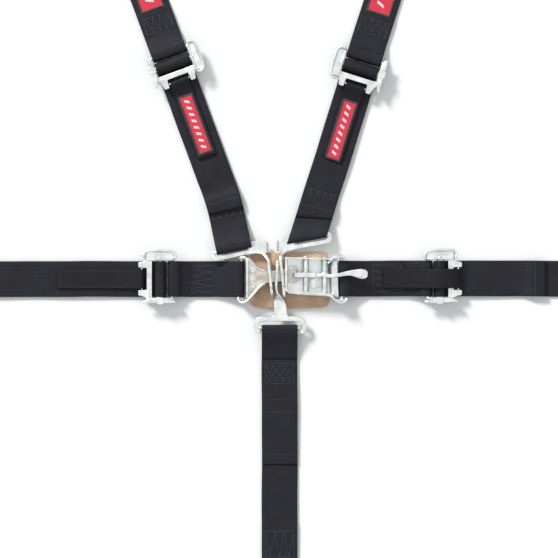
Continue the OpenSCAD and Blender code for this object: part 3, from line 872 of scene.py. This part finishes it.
def roundBar(place, half, radius):
    x, y, z, angle = place
    left = np.array([-math.sin(angle), math.cos(angle), 0])
    s = np.linspace(-half, half, 24)[:, None]
    centre = np.array([x, y, z]) + s * left
    side = np.broadcast_to([math.cos(angle), math.sin(angle), 0], centre.shape)
    return stripArrays(centre, side, 2 * radius, 2 * radius, radius, 2, 8)


def makeShoulderFitting(side, place, a, tip, edgeKeys, plateKeys):
    # slotted end, a plate whose far side curls down, and a lip that turns into the upright loop
    far = 1 if side == "left" else -1
    ring = [(-9, -27 * far, 0), (-9, 0, 0), (-9, 24 * far, 0), (-8.2, 28.6 * far, 0),
            (-4.5, 31 * far, 0.2), (0.5, 30.2 * far, 0.5), (2.6, 27.8 * far, 0.6)]
    parts = [barRing(place, ring, 6.0), roundBar(place, 29, 2.5)]
    along = [(*onTongue(a, b, 0), 0, 0, 1, fitting["blade"]) for b in (22, 14.5, 13)]
    parts.append(sweep([(x, y, z, 0, 0, 1, w) for x, y, z, w in edgeKeys] + along,
                       fitting["edge"], 1.2, 1.0, 8))
    parts.append(sweep([(x, y, z, 0, 1, 0, w) for x, y, z, w in plateKeys],
                       fitting["thick"], 0.8, 0.8, 10))
    parts.append(loopWindow(a, tongueAxis, acrossTongue))
    parts.append(bladeEnd(a, tip, tongueAxis, acrossTongue))
    obj = joined(f"shoulder_fitting_{side}_steel", parts, zinc)
    finishPiece(obj, f"fitting_{side}", "zinc_steel", f"shoulder_fitting_{side}")


leftEdge = [(-46, 36.6, 10.2, 3.2), (-38, 38.4, 10.4, 3.6), (-30, 38.6, 10.6, 4.4),
            (-23.6, 36.6, 10.9, 6.5), (-19.6, 32.4, 11.8, 9.5)]
leftPlate = [(-44, 44, 9.7, 12), (-38, 45.3, 9.8, 16.5), (-30, 46, 9.8, 18.2),
             (-24, 45.8, 9.6, 17.6), (-19.8, 45, 8.6, 16), (-17.6, 44, 6.4, 13.6),
             (-17, 43.4, 4.6, 12)]
rightEdge = [(25, 45.2, 10.2, 3.2), (17, 43.4, 10.4, 3.6), (10, 41.2, 10.6, 4.4),
             (5, 38.2, 10.9, 6.5), (2, 34, 11.8, 9.5)]
rightPlate = [(20, 50, 9.7, 12), (14, 49.8, 9.8, 16.5), (7.5, 49.2, 9.8, 17.6),
              (2.6, 48.4, 9.5, 16.8), (-0.9, 47.4, 8.4, 15), (-2.7, 46.2, 6.4, 12.6),
              (-3.2, 45.6, 4.8, 11)]
makeShoulderFitting("left", bars["fitLeft"], -14, -27, leftEdge, leftPlate)
makeShoulderFitting("right", bars["fitRight"], 3, -31, rightEdge, rightPlate)


def makeCrotchFitting(place):
    # upright blade, a neck twisted a quarter turn, and a T-shaped slotted end with curled ears
    turn = math.radians(3)
    ahead = np.array([math.cos(turn), -math.sin(turn), 0])
    sideways = np.array([math.sin(turn), math.cos(turn), 0])
    a = -4.5
    ring = [(6.0, -26.5, 1.6), (3.4, -31.0, 1.0), (-3.5, -32.6, 0.2), (-10.4, -29.6, 0),
            (-12.4, -22, 0), (-12.6, 0, 0), (-12.4, 22, 0), (-10.4, 30.6, 0), (-3.5, 34.4, 0.2),
            (3.4, 33, 1.0), (6.2, 28.3, 1.6)]
    parts = [barRing(place, ring, 7.0), roundBar(place, 30, 2.5)]
    low = tongueMid + a * ahead - 13 * sideways
    keys = [(*low, 0, 0, 1, 12.2), (low[0], low[1] - 4, 13.4, 0, 0, 1, 12.2),
            (low[0] + 0.4, -18, 13.0, 0.25, 0, 0.96, 12),
            (low[0] + 2.0, -24, 12.2, 0.75, 0, 0.65, 13),
            (low[0] + 3.8, -30, 11.2, 0.98, 0, 0.2, 15.2), (0.2, -37, 10.4, 1, 0, 0, 17.2),
            (0.8, -47.0, 10, 1, 0, 0, 18.6), (0.9, -51.2, 10, 1, 0, 0, 24),
            (0.9, -54, 10, 1, 0, 0, 44)]
    parts.append(sweep(keys, 3.2, 1.0, 1.0, 8))
    parts.append(loopWindow(a, ahead, sideways))
    b = np.linspace(fitting["halfWindow"] + 3.5, 22, 8)
    fall = np.clip((b - 16) / fitting["tipRound"], 0, 0.97)
    wide = fitting["blade"] * np.sqrt(np.clip(1 - fall ** 2, 0.05, 1))
    centre = tongueMid + a * ahead + b[:, None] * sideways
    parts.append(stripArrays(centre, np.broadcast_to(upward, centre.shape), wide,
                             fitting["thick"], 0.6, 6, 3))
    obj = joined("crotch_fitting_steel", parts, zinc)
    finishPiece(obj, "fitting_crotch", "zinc_steel", "crotch_fitting")


makeCrotchFitting(bars["fitCrotch"])
print("fittings made")

latch = {"leverPin": 62.0, "pinHeight": 13.5, "armAcross": 7.0, "boss": 4.2}


def flatBar(keys, thick):
    # keys: x, y, z, width, lying flat
    return sweep([(x, y, z, 0, 1, 0, w) for x, y, z, w in keys], thick, thick * 0.45, 0.9, 6)


def lipBar(keys, thick):
    # keys: x, y, z, height, standing on edge
    return sweep([(x, y, z, 0, 0, 1, w) for x, y, z, w in keys], thick, thick * 0.42, 0.9, 6)


def post(x, y, low, high, radius):
    centre = np.array([(x, y, z) for z in np.linspace(low, high, 4)])
    side = np.broadcast_to([1.0, 0, 0], centre.shape)
    return stripArrays(centre, side, 2 * radius, 2 * radius, radius * 0.98, 2, 8)


def makeLever():
    arm = [(51.5, 5.4, 17.6, 5.0), (56, 6.6, 19.2, 5.0), (62, 7.5, 19.9, 5.2),
           (69.5, 5.6, 19.2, 5.4), (79, 6.6, 18.9, 5.6), (90, 8.6, 18.8, 6.2),
           (98, 9.7, 18.8, 7.8), (105, 9.3, 18.8, 10.6), (112, 8.6, 18.8, 13.4),
           (118, 8.0, 18.8, 12.4), (121.6, 7.6, 18.8, 7.0)]
    boss = roundBar((latch["leverPin"], latch["armAcross"], latch["pinHeight"], 0.0),
                    latch["boss"] - 0.4, 5.7)
    rivet = post(112, 4.9, 19, 20.6, 1.7)
    obj = joined("latch_lever_steel", [flatBar(arm, 2.6), boss, rivet], zinc)
    finishPiece(obj, "lever", "zinc_steel", "latch_lever")


def makeTrayLips():
    # the tray's turned-up rims, rolled at the corners and curled round the webbing slot
    front = [(8.7, 31.4, 12.6, 12), (8.7, 22, 12.8, 13.5), (8.7, -8, 12.8, 13.5),
             (10.4, -14.6, 12.8, 13.5), (16, -17.4, 12.8, 13.5), (40, -19.2, 12.8, 13.5),
             (65, -20.6, 12.8, 13), (71.5, -22.8, 12.8, 12), (77.5, -28.4, 12.9, 10),
             (84, -31, 13, 8), (90.5, -29.4, 13, 6), (93.4, -25, 12.8, 4)]
    rear = [(66.5, 22.8, 15.6, 5), (70.5, 27.2, 14.8, 7), (75.5, 31.8, 13.6, 9), (81, 34, 13, 9),
            (87, 32.8, 13, 6), (90.6, 29.6, 12.8, 4)]
    slope = [(68.8, 1.2, 8.0, 42), (73.5, 1.8, 11.2, 48), (80.6, 2.1, 13.2, 53)]
    parts = [lipBar(front, 4.2), lipBar(rear, 3.4), flatBar(slope, 1.6)]
    obj = joined("latch_tray_lips", parts, zinc)
    finishPiece(obj, "buckle", "zinc_steel")


def makeLinkLips():
    top = [(-55, 31.6, 11, 4), (-49.4, 31.6, 13.4, 5), (-43, 27.4, 14.8, 5.5),
           (-35.5, 20.4, 15, 5.5), (-28, 15, 15, 5), (-21, 12.6, 14.6, 3.4),
           (-19.4, 12.3, 14, 2.0)]
    low = [(-57.4, -23, 10.8, 5), (-58, -27.4, 11.4, 6), (-54, -31, 12.6, 6.5),
           (-47.6, -30, 14, 6.5), (-40, -23, 14.8, 6), (-32, -13.6, 15, 5.5),
           (-25.4, -6.9, 14.8, 4.2), (-20.4, -4.6, 14.2, 2.4)]
    rim = roundBar((-45.6, 1.4, 14.4, 0.0), 27.5, 2.7)
    dimples = [post(-37.0, y, 14.2, 15.2, 1.8) for y in (11.2, -9.8)]
    obj = joined("link_tongue_lips", [lipBar(top, 2.8), lipBar(low, 3.6), rim] + dimples, zinc)
    finishPiece(obj, "link", "zinc_steel")


makeLever()
makeTrayLips()
makeLinkLips()
print("latch made")

adjuster = {"half": 27.4, "level": 8.0, "fixedBar": -17.0, "tabBar": 25.0, "tabBarHeight": 10.75}


def inAdjuster(place, keys, sideways):
    # keys along, across, height, width in an adjuster's own frame, as sweep keys
    x, y, _, angle = place
    ahead = np.array([math.cos(angle), math.sin(angle)])
    left = np.array([-ahead[1], ahead[0]])
    made = []
    for u, v, z, w in keys:
        flat = np.array([x, y]) + u * ahead + v * left
        aside = left if sideways == "across" else ahead
        out = (0, 0, 1) if sideways == "up" else (*aside, 0)
        made.append((*flat, z, *out, w))
    return made


def makeAdjusterFrame(spot, place, ringSide, slope):
    # stamped U-shaped frame: end walls, a rolled rim on one, a cross bar with two prongs
    half, body = adjuster["half"], "_".join([spot.split("_")[0], "adjuster", spot.split("_")[1]])
    parts = []
    wall = [(-21, 0, 8.6, 6), (-17, 0, 8.4, 11), (-8, 0, 8.2, 13.5), (8, 0, 8.2, 13.5),
            (16, 0, 9.8, 9), (19.6, 0, 10.6, 5)]
    for s in (-1, 1):
        keys = [(u, s * half, z, h) for u, _, z, h in wall]
        parts.append(sweep(inAdjuster(place, keys, "up"), 2.4, 0.7, 1.2, 6))
    s = ringSide
    rim = [(-20.5, 28, 14.4, 3), (-22, 32, 14.2, 3), (-20, 37, 13.8, 3), (-14, 39.2, 13.6, 3),
           (0, 39.6, 13.6, 3), (14, 39.2, 13.6, 3), (20, 37.2, 13.8, 3), (22.4, 32.5, 14.2, 3),
           (21, 28, 14.4, 3)]
    line = smoothRoute([(u, s * (v + slope * u), z) for u, v, z, w in rim], 1.0)
    run = unit(np.gradient(line[:, :2], axis=0))
    x, y, _, angle = place
    turn = np.array([[math.cos(angle), math.sin(angle)], [-math.sin(angle), math.cos(angle)]])
    across = np.stack([-run[:, 1], run[:, 0]], 1) @ turn
    centre = np.column_stack([line[:, :2] @ turn + [x, y], line[:, 2]])
    parts.append(stripArrays(centre, np.column_stack([across, np.zeros(len(line))]), 3.4, 3.2,
                             1.4, 4, 5))
    shelf = [(-20, s * 32.6, 11.2, 11), (20, s * 32.6, 11.2, 11)]
    parts.append(sweep(inAdjuster(place, shelf, "across"), 1.6, 0.5, 2.0, 6))
    flange = [(-22, 31.6, 13.0, 3.0), (-16, 31, 13.8, 5.2), (0, 30.6, 14.2, 6.2),
              (14, 31, 13.8, 5.6), (21.5, 32.4, 13.2, 4.2), (24, 33.2, 12.8, 2.6)]
    keys = [(u, -s * (v - slope * u), z, w) for u, v, z, w in flange]
    parts.append(sweep(inAdjuster(place, keys, "across"), 2.4, 0.9, 1.0, 6))
    bar = [(14.6, v, 10.9, w) for v, w in ((-29, 8.6), (-18, 7.8), (18, 7.8), (29, 8.6))]
    parts.append(sweep(inAdjuster(place, bar, "along"), 2.6, 1.0, 1.0, 8))
    for s in (-1, 1):
        prong = [(14, s * 20.6, 11, 13), (18, s * 20.6, 11, 12), (22, s * 20, 10.9, 9.4),
                 (26, s * 19.6, 10.7, 8.2), (28.6, s * 19.4, 10.5, 7.6),
                 (29.8, s * 19.4, 10.3, 5.4)]
        parts.append(sweep(inAdjuster(place, prong, "across"), 2.5, 1.0, 1.0, 6))
    for u, z, reach, radius in ((adjuster["fixedBar"], adjuster["level"], 27, 2.5),
                                (adjuster["tabBar"], adjuster["tabBarHeight"], 15, 1.25)):
        parts.append(roundBar((x + u * math.cos(angle), y + u * math.sin(angle), z, angle),
                              reach, radius))
    obj = joined("adjuster_" + spot + "_steel", parts, zinc)
    finishPiece(obj, body, "zinc_steel", "adjuster_" + spot)
    lug = [(-1, -ringSide * v, 15.6, w) for v, w in ((25.8, 7), (27, 9.6), (29, 11), (33, 11),
                                                      (35.2, 7))]
    lugObj = joined("slide_bar_" + spot + "_lug",
                    [sweep(inAdjuster(place, lug, "along"), 1.8, 0.8, 0.7, 6)], zinc)
    finishPiece(lugObj, body.replace("adjuster", "slide"), "zinc_steel")


makeAdjusterFrame("lap_left", bars["lapAdjLeft"], -1, 0.0)
makeAdjusterFrame("lap_right", bars["lapAdjRight"], 1, 0.06)
makeAdjusterFrame("shoulder_left", bars["adjLeft"], 1, 0.0)
makeAdjusterFrame("shoulder_right", bars["adjRight"], -1, 0.0)
print("adjusters made")

wornZinc = zincPlate("worn zinc plated steel", "b4ada0", 0.42)
plain = {"latch_tray": 0.6, "pad_rivets": 0.4, "hook_pin": 0.5, "lever_pin": 0.5,
         "hook_pin_sleeves": 0.4, "lever_pin_sleeves": 0.4, "leaf_spring": 0.3,
         "latch_webbing_bar": 0.3, "latch_hook": 0.8}
for node, edge in plain.items():
    stampedCopy(node, edge, zinc, "zinc_steel")
stampedCopy("link_tongue", 0.7, wornZinc, "zinc_steel")
for spot in ("lap_left", "lap_right", "shoulder_left", "shoulder_right"):
    stampedCopy("slide_bar_" + spot, 0.4, zinc, "zinc_steel")
    stampedCopy("bracket_" + spot, 0.5, bracketZinc, "bracket_steel")
stampedCopy("bracket_crotch", 0.5, bracketZinc, "bracket_steel")
print("steel made")

# floor and light

studio = {"floor": "fdfdfd", "key": 2.9, "soft": 13.0, "fill": 0.64, "shine": 0.5, "drop": 0.0016}


def makeStage():
    size = 3.0
    mesh = bpy.data.meshes.new("floor")
    mesh.from_pydata([(-size, -size, 0), (size, -size, 0), (size, size, 0), (-size, size, 0)], [],
                     [(0, 1, 2, 3)])
    mat, _, shader = newMaterial("studio paper", {"Roughness": 0.95, "Specular IOR Level": 0.0})
    shader.inputs["Base Color"].default_value = hexColour(studio["floor"])
    mesh.materials.append(mat)
    floor = bpy.data.objects.new("floor", mesh)
    floor.location.z = -studio["drop"]
    bpy.context.scene.collection.objects.link(floor)
    world = bpy.data.worlds.new("studio")
    bpy.context.scene.world = world
    world.use_nodes = True
    tree = world.node_tree
    back = tree.nodes["Background"]
    # the room is bright overhead and dim near the horizon, and metal sees it brighter
    way = addNode(tree, "ShaderNodeTexCoord").outputs["Generated"]
    height = addNode(tree, "ShaderNodeSeparateXYZ", {}, {0: way}).outputs["Z"]
    sky = ramp(tree, height, [(0.02, (0.30, 0.33, 0.38, 1)), (0.35, (0.5, 0.54, 0.6, 1)),
                              (0.62, (1, 1, 1, 1))])
    tree.links.new(sky, back.inputs["Color"])
    path = addNode(tree, "ShaderNodeLightPath")
    strength = addNode(tree, "ShaderNodeMath", {"operation": "MULTIPLY_ADD", 1: studio["shine"],
                                                2: studio["fill"]},
                       {0: path.outputs["Is Glossy Ray"]})
    tree.links.new(strength.outputs[0], back.inputs["Strength"])
    lamp = bpy.data.lights.new("softbox", "SUN")
    lamp.angle = math.radians(studio["soft"])
    lamp.energy = studio["key"]
    key = bpy.data.objects.new("softbox", lamp)
    x, y, z = -1.2, 1.5, 1.12
    key.location = (x, y, z)
    key.rotation_euler = (math.atan2(math.hypot(x, y), z), 0, math.atan2(x, -y))
    bpy.context.scene.collection.objects.link(key)
    bpy.context.scene.view_settings.view_transform = "Standard"


makeStage()
print("stage made")
